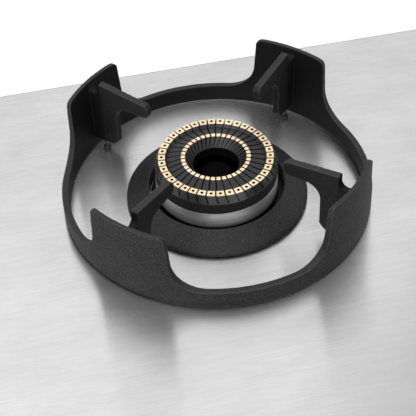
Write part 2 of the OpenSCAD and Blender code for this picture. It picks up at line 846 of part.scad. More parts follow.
module pan_support() {
    color([0.15, 0.15, 0.155]) difference() {
        at_burner() rotate(support_turn) {
            difference() {
                union() {
                    translate([0, 0, ring_low]) ring(ring_r, ring_r - ring_t, band_top - ring_low, $fn = 192);
                    for (k = [0:3]) rotate(90 * k) intersection() {
                        translate([0, 0, ring_low]) ring(ring_r, ring_r - ring_t, lug_top, $fn = 192);
                        translate([ring_r / 2, 0, 0]) rotate([90, 0, 90]) linear_extrude(ring_r) lug_outline();
                    }
                }
                rotate_extrude($fn = 192) lug_draft();
            }
            for (k = [0:3]) rotate(90 * k)
                translate([0, arm_t / 2, 0]) rotate([90, 0, 0]) linear_extrude(arm_t) arm_section();
        }
        foot_at() translate([0, 0, ring_low])
            cylinder(r = foot_pin_r + run_gap, h = band_top - ring_low + foot_pin_bury);
    }
}

module foot_pins() {
    pin_low = foot_h / 2;
    color([0.6, 0.6, 0.6]) foot_at() translate([0, 0, pin_low])
        cylinder(r = foot_pin_r, h = band_top + foot_pin_bury - overrun - pin_low);
}

module foot_pads() {
    color([0.1, 0.1, 0.1]) foot_at() difference() {
        union() {
            cylinder(r = foot_r, h = foot_h - foot_pin_r / 2);
            translate([0, 0, foot_h - foot_pin_r / 2])
                cylinder(r1 = foot_r, r2 = foot_r - foot_pin_r / 2, h = foot_pin_r / 2);
        }
        translate([0, 0, foot_h / 2]) cylinder(r = foot_pin_r, h = foot_h);
    }
}

// Knob, spindle and bezel
module d_shape(r, flat) {
    intersection() {
        circle(r = r);
        translate([-2 * r, -2 * r]) square([4 * r, 3 * r - flat]);
    }
}

function knob_low() = plate_top + bezel_h + push_travel + knob_gap;

module control_knob() {
    grip_l = knob_r - knob_edge - knob_grip_edge;
    color([0.78, 0.78, 0.78]) at_knob() translate([0, 0, knob_low()]) difference() {
        union() {
            rotate_extrude() polygon([[0, 0], [knob_r, 0], [knob_r, knob_h - knob_edge],
                [knob_r - knob_edge, knob_h], [0, knob_h]]);
            translate([-knob_grip_w / 2, -grip_l, knob_h - overrun])
                cube([knob_grip_w, 2 * grip_l, overrun + knob_grip_h - knob_grip_edge]);
            translate([knob_grip_edge - knob_grip_w / 2, knob_grip_edge - grip_l, knob_h])
                cube([knob_grip_w - 2 * knob_grip_edge, 2 * (grip_l - knob_grip_edge), knob_grip_h]);
        }
        difference() {
            translate([0, 0, -overrun]) cylinder(r = knob_hollow_r, h = knob_hollow_h + overrun);
            cylinder(r = knob_hub_r, h = knob_hollow_h);
        }
        translate([0, 0, -overrun]) linear_extrude(knob_bore_depth + overrun)
            d_shape(spindle_r + d_gap, spindle_flat - d_gap);
        translate([-knob_mark_w / 2, grip_l - knob_mark_l, knob_h + knob_grip_h - knob_mark_depth])
            cube([knob_mark_w, knob_mark_l + overrun, knob_mark_depth + overrun]);
    }
}

module knob_bezel() {
    color([0.8, 0.8, 0.8]) at_knob() translate([0, 0, plate_top]) difference() {
        rotate_extrude() polygon([[0, 0], [bezel_r, 0], [bezel_r, bezel_h - bezel_bevel],
            [bezel_r - bezel_bevel, bezel_h], [0, bezel_h]]);
        translate([0, 0, -overrun]) cylinder(r = bezel_in_r, h = bezel_h + 2 * overrun);
    }
}

function valve_top() = valve_low + valve_h;

module valve_spindle() {
    d_low = plate_top;
    shaft_low = plug_low + plug_h + push_travel + 2 * fit_gap;
    color([0.8, 0.78, 0.7]) at_knob() {
        translate([0, 0, shaft_low]) cylinder(r = spindle_r, h = d_low - shaft_low);
        translate([0, 0, washer_low() + washer_t]) cylinder(r = shoulder_r, h = shoulder_h);
        translate([0, 0, d_low]) linear_extrude(knob_low() + knob_bore_depth - fit_gap - d_low)
            d_shape(spindle_r, spindle_flat);
        translate([-blade_l / 2 * blade_share, -blade_t / 2, shaft_low - blade_h])
            cube([blade_l * blade_share, blade_t, blade_h + overrun]);
    }
}

// Washer that the spindle's shoulder pushes down onto the spring
function washer_low() = valve_top() + cover_t + spring_l;

module spindle_washer() {
    tab_from = spindle_r + 2 * fit_gap;
    color([0.7, 0.7, 0.7]) at_knob() {
        translate([0, 0, washer_low()]) ring(washer_r, spindle_r + fit_gap, washer_t);
        translate([tab_from, -tab_w / 2, washer_low()])
            cube([plunger_x() + plunger_r + fit_gap - tab_from, tab_w, washer_t]);
    }
}

module return_spring() {
    color([0.6, 0.6, 0.6]) at_knob() translate([0, 0, valve_top() + cover_t])
        ring(spring_r, spring_r - spring_wire, spring_l);
}

module valve_body() {
    color([0.72, 0.72, 0.72]) at_knob() difference() {
        union() {
            translate([-valve_w / 2, -valve_d / 2, valve_low]) cube([valve_w, valve_d, valve_h]);
            for (s = [-1, 1]) translate([s * port_x, valve_d / 2 - overrun, port_z]) rotate([-90, 0, 0])
                cylinder(r = gas_pipe_r + pipe_seat, h = 2 * pipe_seat + overrun);
        }
        translate([0, 0, plug_low]) cylinder(r = plug_r + plug_gap, h = valve_h);
        for (s = [-1, 1]) translate([s * port_x, valve_d / 2 + pipe_seat, port_z]) rotate([-90, 0, 0])
            cylinder(r = gas_pipe_r + run_gap, h = pipe_seat + overrun);
        translate([valve_w / 2 - 2 * pipe_seat, 0, port_z]) rotate([0, 90, 0])
            cylinder(r = manifold_r + run_gap, h = 2 * pipe_seat + overrun);
        for (x = [-1, 1], y = [-1, 1])
            translate([x * valve_screw_x, y * valve_screw_x, valve_top() - 2 * cover_t])
                cylinder(r = valve_screw_r + run_gap, h = 3 * cover_t);
    }
}

module valve_plug() {
    color([0.85, 0.68, 0.35]) at_knob() difference() {
        translate([0, 0, plug_low + plug_gap]) cylinder(r = plug_r, h = plug_h);
        translate([-blade_l / 2, -blade_t / 2 - blade_gap, plug_low + plug_h - blade_h])
            cube([blade_l, blade_t + 2 * blade_gap, blade_h + overrun]);
    }
}

module valve_cover() {
    color([0.75, 0.75, 0.75]) at_knob() translate([0, 0, valve_top()]) difference() {
        translate([-valve_w / 2, -valve_d / 2, 0]) cube([valve_w, valve_d, cover_t]);
        translate([0, 0, -overrun]) cylinder(r = spindle_r + run_gap, h = cover_t + 2 * overrun);
        for (x = [-1, 1], y = [-1, 1]) translate([x * valve_screw_x, y * valve_screw_x, -overrun])
            cylinder(r = valve_screw_r + fit_gap, h = cover_t + 2 * overrun);
    }
}

module valve_screws() {
    color([0.6, 0.6, 0.6]) at_knob() for (x = [-1, 1], y = [-1, 1])
        translate([x * valve_screw_x, y * valve_screw_x, valve_top() - cover_t]) {
            cylinder(r = valve_screw_r, h = 2 * cover_t + valve_screw_head_h);
            translate([0, 0, 2 * cover_t]) cylinder(r = valve_screw_head_r, h = valve_screw_head_h);
        }
}

// Safety magnet on the valve's left side
module magnet_unit() {
    color([0.78, 0.68, 0.4]) at_knob() translate([-valve_w / 2, 0, lead_z]) rotate([0, -90, 0]) {
        cylinder(r = magnet_r, h = magnet_case_l);
        translate([0, 0, magnet_case_l]) cylinder(r1 = magnet_r, r2 = magnet_r / 2, h = magnet_r / 2);
        cylinder(r = magnet_r / 2, h = magnet_l);
    }
}

// Bracket between the valve and the box's floor
module valve_bracket() {
    foot_l = 2 * valve_screw_head_r + 2 * overrun;
    color([0.6, 0.6, 0.6]) at_knob() {
        translate([-valve_w / 2, -valve_d / 2, valve_low - valve_bracket_t])
            cube([valve_w, valve_d, valve_bracket_t]);
        for (s = [0, 1]) mirror([s, 0, 0]) {
            translate([valve_w / 2 - valve_bracket_t, -valve_d / 2, sheet_t])
                cube([valve_bracket_t, valve_d, valve_low - sheet_t]);
            translate([valve_w / 2 - valve_bracket_t, -valve_d / 2, sheet_t])
                cube([foot_l, valve_d, valve_bracket_t]);
        }
    }
}

// Ignition switch on the valve's cover, with the plunger that the washer's tab presses
function switch_x() = valve_w / 2 + switch_w / 2;
function switch_low() = valve_top() + cover_t - switch_h;
function plunger_x() = valve_w / 2 + plunger_r + 2 * fit_gap;
function plunger_low() = switch_low() + switch_h * switch_floor_share + push_travel + fit_gap;

module ignition_switch() {
    color([0.15, 0.15, 0.16]) at_knob() translate([valve_w / 2, -switch_d / 2, switch_low()]) difference() {
        cube([switch_w, switch_d, switch_h]);
        translate([plunger_r + 2 * fit_gap, switch_d / 2, switch_h * switch_floor_share])
            cylinder(r = plunger_r + run_gap, h = switch_h);
    }
}

module switch_plunger() {
    color([0.85, 0.3, 0.25]) at_knob() translate([plunger_x(), 0, plunger_low()])
        cylinder(r = plunger_r, h = washer_low() - plunger_low());
}

// Gas inlet at the back: its shank passes through the box's wall, with a fixed hexagon and the free
// thread outside and a nut inside
module gas_inlet() {
    wall_in = inlet_y - sheet_t;
    color([0.82, 0.66, 0.36]) translate([manifold_x, wall_in, port_z]) rotate([-90, 0, 0]) difference() {
        union() {
            translate([0, 0, -inlet_body_l]) cylinder(r = inlet_shank_r, h = inlet_body_l + 2 * sheet_t);
            translate([0, 0, sheet_t]) hexagon(inlet_nut_af, inlet_nut_h);
            translate([0, 0, sheet_t + inlet_nut_h]) cylinder(r = inlet_thread_r, h = inlet_thread_l);
        }
        translate([0, 0, 2 * pipe_seat - inlet_body_l])
            cylinder(r = inlet_bore_r, h = inlet_body_l + inlet_nut_h + inlet_thread_l + overrun);
        translate([0, 0, -inlet_body_l - overrun])
            cylinder(r = manifold_r + run_gap, h = 2 * pipe_seat + 2 * overrun);
    }
}

module inlet_nut() {
    color([0.8, 0.8, 0.78]) translate([manifold_x, inlet_y - sheet_t - inlet_nut_h, port_z])
        rotate([-90, 0, 0]) difference() {
            hexagon(inlet_nut_af, inlet_nut_h);
            translate([0, 0, -overrun]) cylinder(r = inlet_shank_r + run_gap, h = inlet_nut_h + 2 * overrun);
        }
}

module manifold_pipe() {
    start_y = inlet_y - sheet_t - inlet_body_l + pipe_seat;
    color([0.6, 0.6, 0.62]) tube_path([[manifold_x, start_y, port_z], [manifold_x, knob_y, port_z],
        [valve_w / 2 - pipe_seat, knob_y, port_z]], manifold_r, manifold_bend);
}

// The two pipes to the burner, with a nut at each end
function pipe_from() = knob_y + valve_d / 2 + pipe_seat + run_gap;
function pipe_to() = burner_y - body_lug_l + pipe_seat - overrun;

module burner_pipe(x) {
    color([0.78, 0.78, 0.8]) rod([x, pipe_from(), port_z], [x, pipe_to(), port_z], gas_pipe_r);
}

module inner_gas_pipe() {
    burner_pipe(-port_x);
}

module outer_gas_pipe() {
    burner_pipe(port_x);
}

module pipe_nuts() {
    valve_face = knob_y + valve_d / 2 + 2 * pipe_seat;
    body_face = burner_y - body_lug_l - overrun;
    color([0.85, 0.68, 0.35]) for (s = [-1, 1], y = [valve_face, body_face - pipe_nut_l])
        translate([s * port_x, y, port_z]) rotate([-90, 0, 0]) difference() {
            hexagon(nut_af, pipe_nut_l);
            translate([0, 0, -overrun]) cylinder(r = gas_pipe_r + run_gap, h = pipe_nut_l + 2 * overrun);
        }
}

// Ignition module, terminal block, their lead and the cord's gland
module ignition_module() {
    color([0.9, 0.9, 0.88]) translate([module_x, burner_y + well_r * sin(electrode_turn), sheet_t])
        rounded_block(module_w, module_d, module_h, module_corner_r);
}

module terminal_block() {
    color([0.92, 0.92, 0.9]) translate([gland_x, inlet_y - terminal_inset, sheet_t]) difference() {
        translate([-terminal_w / 2, -terminal_d / 2, 0]) cube([terminal_w, terminal_d, terminal_h]);
        for (k = [-1:1]) translate([k * terminal_pitch, 0, terminal_h / 2])
            cylinder(r = terminal_hole_r, h = terminal_h);
    }
}

module supply_lead() {
    end_y = burner_y + well_r * sin(electrode_turn) + module_d / 2;
    from_y = inlet_y - terminal_inset - terminal_d / 2;
    supply_y = from_y - supply_run;
    color([0.85, 0.85, 0.85]) tube_path([[gland_x, from_y, supply_z], [gland_x, supply_y, supply_z],
        [module_x, supply_y, supply_z], [module_x, end_y, supply_z]], supply_r, supply_bend);
}

module cord_gland() {
    color([0.12, 0.12, 0.12]) translate([gland_x, inlet_y, gland_z]) rotate([-90, 0, 0]) difference() {
        union() {
            translate([0, 0, -sheet_t - gland_in]) cylinder(r = gland_body_r, h = gland_in + sheet_t);
            cylinder(r = gland_r, h = gland_flange_t);
            cylinder(r1 = gland_r - fit_gap, r2 = gland_body_r, h = gland_out);
            translate([0, 0, -sheet_t - gland_in]) hexagon(2 * gland_r, gland_in);
        }
        translate([0, 0, -sheet_t - gland_in - overrun])
            cylinder(r = gland_bore_r, h = gland_in + gland_out + sheet_t + 2 * overrun);
    }
}

// Worktop clamps on the box's sides
clamp_x = box_w / 2 + clamp_pivot_out;
clamp_spread = box_d / 2 - clamp_inset;
clamp_arm_z = clamp_ear_low + clamp_ear_t;

module clamp_brackets() {
    color([0.6, 0.61, 0.62]) for (x = [0, 1], y = [-1, 1]) mirror([x, 0, 0])
        translate([box_w / 2, y * clamp_spread, clamp_ear_low]) difference() {
            union() {
                translate([0, -clamp_ear_w / 2, 0]) cube([clamp_ear_out, clamp_ear_w, clamp_ear_t]);
                translate([0, -clamp_ear_w / 2, clamp_ear_t - clamp_ear_low])
                    cube([clamp_ear_t, clamp_ear_w, clamp_ear_h]);
            }
            translate([clamp_pivot_out, 0, -overrun])
                cylinder(r = clamp_screw_r + run_gap, h = clamp_ear_t + 2 * overrun);
        }
}

module clamp_screws() {
    color([0.75, 0.75, 0.75]) for (x = [-1, 1], y = [-1, 1])
        translate([x * clamp_x, y * clamp_spread, clamp_ear_low - clamp_head_h]) {
            cylinder(r = clamp_head_r, h = clamp_head_h);
            cylinder(r = clamp_screw_r, h = clamp_screw_l + clamp_head_h);
        }
}

// One clamp arm, drawn for the right side with its arm towards the back
module clamp_arm() {
    difference() {
        union() {
            cylinder(r = clamp_arm_w / 2, h = clamp_arm_t);
            translate([-clamp_arm_w / 2, 0, 0]) cube([clamp_arm_w, clamp_arm_l, clamp_arm_t]);
            translate([-clamp_arm_w / 2, clamp_arm_l - clamp_arm_t, 0])
                cube([clamp_arm_w, clamp_arm_t, clamp_arm_t + clamp_lip_h]);
        }
        translate([0, 0, -overrun]) cylinder(r = clamp_screw_r + run_gap, h = clamp_arm_t + 2 * overrun);
    }
}

module clamp(side_x, side_y) {
    color([0.7, 0.7, 0.68]) translate([side_x * clamp_x, side_y * clamp_spread, clamp_arm_z])
        mirror([0, side_y > 0 ? 1 : 0, 0]) clamp_arm();
}

module clamp_front_left() {
    clamp(-1, -1);
}

module clamp_front_right() {
    clamp(1, -1);
}

module clamp_back_left() {
    clamp(-1, 1);
}

module clamp_back_right() {
    clamp(1, 1);
}

hob_plate();
worktop_seal();
burner_box();
box_nuts();
burner_bridge();
bridge_screws();
injector_body();
inner_injector();
outer_injector();
burner_gasket();
burner_cup();
cup_screws();
venturi_tube();
spark_electrode_ceramic();
spark_electrode_pin();
thermocouple_tip();
thermocouple_lead();
burner_skirt();
burner_crown();
centre_cap();
pan_support();
foot_pins();
foot_pads();
control_knob();
knob_bezel();
valve_spindle();
spindle_washer();
return_spring();
valve_body();
valve_plug();
valve_cover();
magnet_unit();
valve_bracket();
valve_screws();
ignition_switch();
switch_plunger();
gas_inlet();
inlet_nut();
manifold_pipe();
inner_gas_pipe();
outer_gas_pipe();
pipe_nuts();
ignition_module();
spark_lead();
terminal_block();
supply_lead();
cord_gland();
clamp_brackets();
clamp_screws();
clamp_front_left();
clamp_front_right();
clamp_back_left();
clamp_back_right();
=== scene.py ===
"""Looks of the gas cooktop: camera, studio, materials and the fine pieces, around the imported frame."""
import json
import math

import bpy
from mathutils import Matrix, Vector


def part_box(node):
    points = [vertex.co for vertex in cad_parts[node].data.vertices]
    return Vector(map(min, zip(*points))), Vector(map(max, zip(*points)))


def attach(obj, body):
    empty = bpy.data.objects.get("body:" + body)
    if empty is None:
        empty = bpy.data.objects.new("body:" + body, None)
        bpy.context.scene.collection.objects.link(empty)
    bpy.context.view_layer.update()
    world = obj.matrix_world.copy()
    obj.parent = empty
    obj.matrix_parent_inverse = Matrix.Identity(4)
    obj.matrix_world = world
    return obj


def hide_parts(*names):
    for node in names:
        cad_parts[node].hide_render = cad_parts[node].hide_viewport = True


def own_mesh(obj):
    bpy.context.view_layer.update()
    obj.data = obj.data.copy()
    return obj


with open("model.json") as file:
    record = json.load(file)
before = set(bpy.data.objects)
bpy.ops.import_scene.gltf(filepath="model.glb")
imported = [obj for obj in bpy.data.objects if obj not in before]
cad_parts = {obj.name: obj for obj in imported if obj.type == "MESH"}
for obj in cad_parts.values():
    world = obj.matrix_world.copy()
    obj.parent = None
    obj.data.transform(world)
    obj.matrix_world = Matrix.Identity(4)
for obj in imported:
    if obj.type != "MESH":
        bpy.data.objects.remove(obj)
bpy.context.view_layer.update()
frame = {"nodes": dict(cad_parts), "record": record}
nodes = frame["nodes"]
scene = bpy.context.scene

# Places of the part, in metres
BURNER = Vector((0.0, 0.083, 0.0592))
KNOB_Y = -0.217
PLATE_TOP = 0.0592

# Heights above the plate and radii that part the finishes, painted light and painted shade of the burner and
# of the support, in metres
CROWN_LAND = 0.0426
CROWN_BAND = 0.0357
CROWN_FLANK_R = 0.0477
CROWN_EYE_R = 0.0300
CROWN_HOLE_R = 0.0197
NOTCH_R = 0.1140
RING_IN_R = 0.1246
LUG_IN_R = 0.1267
LUG_DRAFT_Z = (0.022, 0.080)
# Below these heights the cup is painted dark: painted shade in the gap under the skirt.
CUP_SHADE_LOW = 0.0100
CUP_SHADE_HIGH = 0.0118

# The dark band of painted shade on the plate's rim, as depths below the plate's top: it fades in at its lower
# edge and out at its upper one
RIM_LOW = (0.0014, 0.0008)
RIM_HIGH = (0.0001, 0.00001)

# Studio: half the floor's side in metres, the floor's own glow, and the world's strength as fill light
FLOOR_HALF = 4.0
FLOOR_GLOW = 0.45
WORLD_FILL = 0.36

# Lamps, all aimed at one point: place and size in metres, power in watts
LAMP_AIM = (0.0, 0.08, 0.06)
LAMPS = {
    "key": ((-1.0, -0.9, 1.5), (1.8, 1.8), 22.0),
    "top": ((0.1, 0.3, 2.0), (2.0, 1.6), 4.0),
    "front": ((0.7, -1.6, 0.35), (0.7, 0.5), 1.7),
}

# The wok support's rounding: voxel in metres and rounds of smoothing
IRON_VOXEL = 0.0006
IRON_ROUNDS = 2

# Marks round the knob, in metres and degrees
SCALE_R = 0.0268
MARK_HALF = 0.0014
ARC_TIP = 0.0002
ARC_FROM = 160
ARC_SWEEP = 200
MARK_SINK = 0.00002
MARK_RISE = 0.00006


# Camera, found by fitting the rings of the photograph

def add_camera():
    focal_px, image_px, sensor = 1187.4, 416.0, 36.0
    elevation, roll, turn = math.radians(44.02), math.radians(-2.53), math.radians(-10.918)
    distance = 0.99821
    target = Vector((-0.00831, -0.01694, 0.0))
    back = Vector((0.0, -math.cos(elevation), math.sin(elevation)))
    right = Vector((1.0, 0.0, 0.0))
    up = back.cross(right)
    cam_x = math.cos(roll) * right + math.sin(roll) * up
    cam_y = -math.sin(roll) * right + math.cos(roll) * up
    pose = Matrix((cam_x, cam_y, back)).transposed().to_4x4()
    pose.translation = target + back * distance
    data = bpy.data.cameras.new("camera")
    data.sensor_width = sensor
    data.lens = focal_px / image_px * sensor
    camera = bpy.data.objects.new("camera", data)
    camera.matrix_world = Matrix.Translation(BURNER) @ Matrix.Rotation(turn, 4, "Z") @ pose
    scene.collection.objects.link(camera)
    scene.camera = camera


# Studio

def add_area(name, place, size, energy):
    data = bpy.data.lights.new(name, "AREA")
    data.shape = "RECTANGLE"
    data.size, data.size_y = size
    data.energy = energy
    lamp = bpy.data.objects.new(name, data)
    lamp.location = place
    lamp.rotation_euler = (Vector(LAMP_AIM) - Vector(place)).to_track_quat("-Z", "Y").to_euler()
    scene.collection.objects.link(lamp)


def add_world():
    world = bpy.data.worlds.new("studio")
    world.use_nodes = True
    scene.world = world
    tree = world.node_tree
    tree.nodes.clear()
    path = tree.nodes.new("ShaderNodeLightPath")
    seen = math_node(tree, "ADD", path.outputs["Is Camera Ray"], path.outputs["Is Glossy Ray"])
    seen = math_node(tree, "ADD", seen, path.outputs["Is Transmission Ray"])
    fill = tree.nodes.new("ShaderNodeBackground")
    fill.inputs["Color"].default_value = (1.0, 1.0, 1.0, 1.0)
    fill.inputs["Strength"].default_value = WORLD_FILL
    white = tree.nodes.new("ShaderNodeBackground")
    white.inputs["Color"].default_value = (1.0, 1.0, 1.0, 1.0)
    white.inputs["Strength"].default_value = 1.0
    mix = tree.nodes.new("ShaderNodeMixShader")
    out = tree.nodes.new("ShaderNodeOutputWorld")
    tree.links.new(seen, mix.inputs["Fac"])
    tree.links.new(fill.outputs[0], mix.inputs[1])
    tree.links.new(white.outputs[0], mix.inputs[2])
    tree.links.new(mix.outputs[0], out.inputs["Surface"])


def add_floor():
    mesh = bpy.data.meshes.new("floor")
    corners = [(x * FLOOR_HALF, y * FLOOR_HALF, 0) for x, y in ((-1, -1), (1, -1), (1, 1), (-1, 1))]
    mesh.from_pydata(corners, [], [(0, 1, 2, 3)])
    floor = bpy.data.objects.new("floor", mesh)
    scene.collection.objects.link(floor)
    mat = bpy.data.materials.new("floor")
    mat.use_nodes = True
    tree = mat.node_tree
    shader = tree.nodes["Principled BSDF"]
    shader.inputs["Base Color"].default_value = (0.86, 0.86, 0.86, 1.0)
    shader.inputs["Roughness"].default_value = 0.9
    path = tree.nodes.new("ShaderNodeLightPath")
    shader.inputs["Emission Color"].default_value = (1.0, 1.0, 1.0, 1.0)
    seen = math_node(tree, "ADD", path.outputs["Is Camera Ray"], path.outputs["Is Glossy Ray"])
    glow = math_node(tree, "MULTIPLY", seen, FLOOR_GLOW)
    tree.links.new(glow, shader.inputs["Emission Strength"])
    mesh.materials.append(mat)


# Node helpers

def math_node(tree, kind, a, b=None, c=None):
    node = tree.nodes.new("ShaderNodeMath")
    node.operation = kind
    for k, value in enumerate((a, b, c)):
        if value is None:
            continue
        if isinstance(value, (int, float)):
            node.inputs[k].default_value = value
        else:
            tree.links.new(value, node.inputs[k])
    return node.outputs[0]


def weighted(tree, a, share, b):
    """The sum of a's share and b's rest."""
    rest = math_node(tree, "MULTIPLY", b, 1 - share)
    return math_node(tree, "ADD", math_node(tree, "MULTIPLY", a, share), rest)


def grey(level):
    return (level, level, level)


def coords(tree, stretch=(1.0, 1.0, 1.0), centre=(0.0, 0.0, 0.0)):
    """Object coordinates in metres from the centre, stretched."""
    place = tree.nodes.new("ShaderNodeTexCoord")
    mapping = tree.nodes.new("ShaderNodeMapping")
    mapping.vector_type = "POINT"
    mapping.inputs["Scale"].default_value = stretch
    mapping.inputs["Location"].default_value = tuple(-c * s for c, s in zip(centre, stretch))
    tree.links.new(place.outputs["Object"], mapping.inputs["Vector"])
    return mapping.outputs[0]


def noise(tree, vector, scale, detail=3.0, rough=0.55):
    node = tree.nodes.new("ShaderNodeTexNoise")
    node.inputs["Scale"].default_value = scale
    node.inputs["Detail"].default_value = detail
    node.inputs["Roughness"].default_value = rough
    tree.links.new(vector, node.inputs["Vector"])
    return node.outputs["Fac"]


def ramp(tree, value, low, high, out_low=0.0, out_high=1.0, kind="LINEAR"):
    node = tree.nodes.new("ShaderNodeMapRange")
    node.interpolation_type = kind
    node.inputs["From Min"].default_value = low
    node.inputs["From Max"].default_value = high
    node.inputs["To Min"].default_value = out_low
    node.inputs["To Max"].default_value = out_high
    tree.links.new(value, node.inputs["Value"])
    return node.outputs[0]


def blend_colors(tree, factor, a, b):
    node = tree.nodes.new("ShaderNodeMix")
    node.data_type = "RGBA"
    tree.links.new(factor, node.inputs[0])
    for socket, value in ((node.inputs[6], a), (node.inputs[7], b)):
        if isinstance(value, tuple):
            socket.default_value = (*value, 1.0)
        else:
            tree.links.new(value, socket)
    return node.outputs[2]


def bump(tree, height, distance, strength, under=None):
    node = tree.nodes.new("ShaderNodeBump")
    node.inputs["Strength"].default_value = strength
    node.inputs["Distance"].default_value = distance
    tree.links.new(height, node.inputs["Height"])
    if under is not None:
        tree.links.new(under, node.inputs["Normal"])
    return node.outputs[0]


def polar(tree):
    """Place from the burner's axis at the plate's top: the vector, its radius and its height."""
    place = coords(tree, centre=tuple(BURNER))
    split = tree.nodes.new("ShaderNodeSeparateXYZ")
    tree.links.new(place, split.inputs[0])
    square = math_node(tree, "ADD", math_node(tree, "MULTIPLY", split.outputs["X"], split.outputs["X"]),
                       math_node(tree, "MULTIPLY", split.outputs["Y"], split.outputs["Y"]))
    return place, math_node(tree, "SQRT", square), split.outputs["Z"]


def facing_in(tree, place):
    """1 on a face that looks at the burner's axis, 0 on one that looks away."""
    shape = tree.nodes.new("ShaderNodeNewGeometry")
    flat = tree.nodes.new("ShaderNodeVectorMath")
    flat.operation = "MULTIPLY"
    flat.inputs[1].default_value = (-1.0, -1.0, 0.0)
    tree.links.new(place, flat.inputs[0])
    unit = tree.nodes.new("ShaderNodeVectorMath")
    unit.operation = "NORMALIZE"
    tree.links.new(flat.outputs[0], unit.inputs[0])
    dot = tree.nodes.new("ShaderNodeVectorMath")
    dot.operation = "DOT_PRODUCT"
    tree.links.new(unit.outputs[0], dot.inputs[0])
    tree.links.new(shape.outputs["True Normal"], dot.inputs[1])
    return ramp(tree, dot.outputs["Value"], 0.35, 0.85)


def openness(tree, distance):
    """1 on an open face, towards 0 in a slot or a corner narrower than the distance."""
    node = tree.nodes.new("ShaderNodeAmbientOcclusion")
    node.samples = 8
    node.inputs["Distance"].default_value = distance
    return node.outputs["AO"]


def new_material(name, metallic=0.0):
    mat = bpy.data.materials.new(name)
    mat.use_nodes = True
    shader = mat.node_tree.nodes["Principled BSDF"]
    shader.inputs["Metallic"].default_value = metallic
    return mat, mat.node_tree, shader


def finish(name, shades, rough, metallic=0.0, grain=400.0, stretch=(1.0, 1.0, 1.0), depth=0.0001,
           strength=0.2):
    """A material of one finish: two shades, a range of roughness and a grain that may be stretched."""
    mat, tree, shader = new_material(name, metallic)
    fine = noise(tree, coords(tree, stretch), grain)
    broad = noise(tree, coords(tree), 14.0, detail=4.0)
    tint = weighted(tree, fine, 0.6, broad)
    tree.links.new(blend_colors(tree, ramp(tree, tint, 0.35, 0.65), *shades), shader.inputs["Base Color"])
    tree.links.new(ramp(tree, fine, 0.3, 0.7, *rough), shader.inputs["Roughness"])
    tree.links.new(bump(tree, fine, depth, strength), shader.inputs["Normal"])
    return mat


# Materials by slot

def stainless():
    """Brushed sheet: the grain runs along X, so reflections spread along Y. Its colour carries painted shade:
    darker towards the front right corner, on the rim and next to the parts standing on it.
    """
    mat, tree, shader = new_material("stainless", 1.0)
    grain = noise(tree, coords(tree, (1.0, 45.0, 45.0)), 34.0, detail=4.0, rough=0.6)
    cloud = noise(tree, coords(tree, (1.0, 1.6, 1.0)), 15.0, detail=6.0, rough=0.68)
    mixed = weighted(tree, grain, 0.4, cloud)
    sheet = blend_colors(tree, ramp(tree, mixed, 0.33, 0.67), grey(0.575), (0.71, 0.71, 0.708))
    split = tree.nodes.new("ShaderNodeSeparateXYZ")
    tree.links.new(coords(tree), split.inputs[0])
    slant = math_node(tree, "SUBTRACT", split.outputs["X"], split.outputs["Y"])
    # Painted shade: the sheet is painted darker towards the front right corner.
    painted_dark_corner = ramp(tree, slant, 0.08, 0.34, 0.0, 0.85, "SMOOTHERSTEP")
    sheet = blend_colors(tree, painted_dark_corner, sheet, grey(0.40))
    # Painted shade: a dark, non-metallic band along the plate's rolled rim.
    from_below = ramp(tree, split.outputs["Z"], PLATE_TOP - RIM_LOW[0], PLATE_TOP - RIM_LOW[1])
    to_top = ramp(tree, split.outputs["Z"], PLATE_TOP - RIM_HIGH[0], PLATE_TOP - RIM_HIGH[1], 1.0, 0.0)
    painted_rim_shade = math_node(tree, "MULTIPLY", from_below, to_top)
    sheet = blend_colors(tree, painted_rim_shade, sheet, grey(0.10))
    tree.links.new(math_node(tree, "SUBTRACT", 1.0, painted_rim_shade), shader.inputs["Metallic"])
    # Painted shade: the sheet is painted darker next to the parts that stand on it.
    painted_contact_shade = ramp(tree, openness(tree, 0.004), 0.2, 0.7)
    tree.links.new(blend_colors(tree, painted_contact_shade, grey(0.14), sheet), shader.inputs["Base Color"])
    soft = noise(tree, coords(tree, (1.0, 3.0, 1.0)), 14.0, detail=2.0)
    tree.links.new(ramp(tree, soft, 0.3, 0.7, 0.25, 0.275), shader.inputs["Roughness"])
    tree.links.new(bump(tree, soft, 0.0001, 0.012), shader.inputs["Normal"])
    across = tree.nodes.new("ShaderNodeTangent")
    across.direction_type = "RADIAL"
    across.axis = "X"
    tree.links.new(across.outputs[0], shader.inputs["Tangent"])
    shader.inputs["Anisotropic"].default_value = 0.93
    return mat


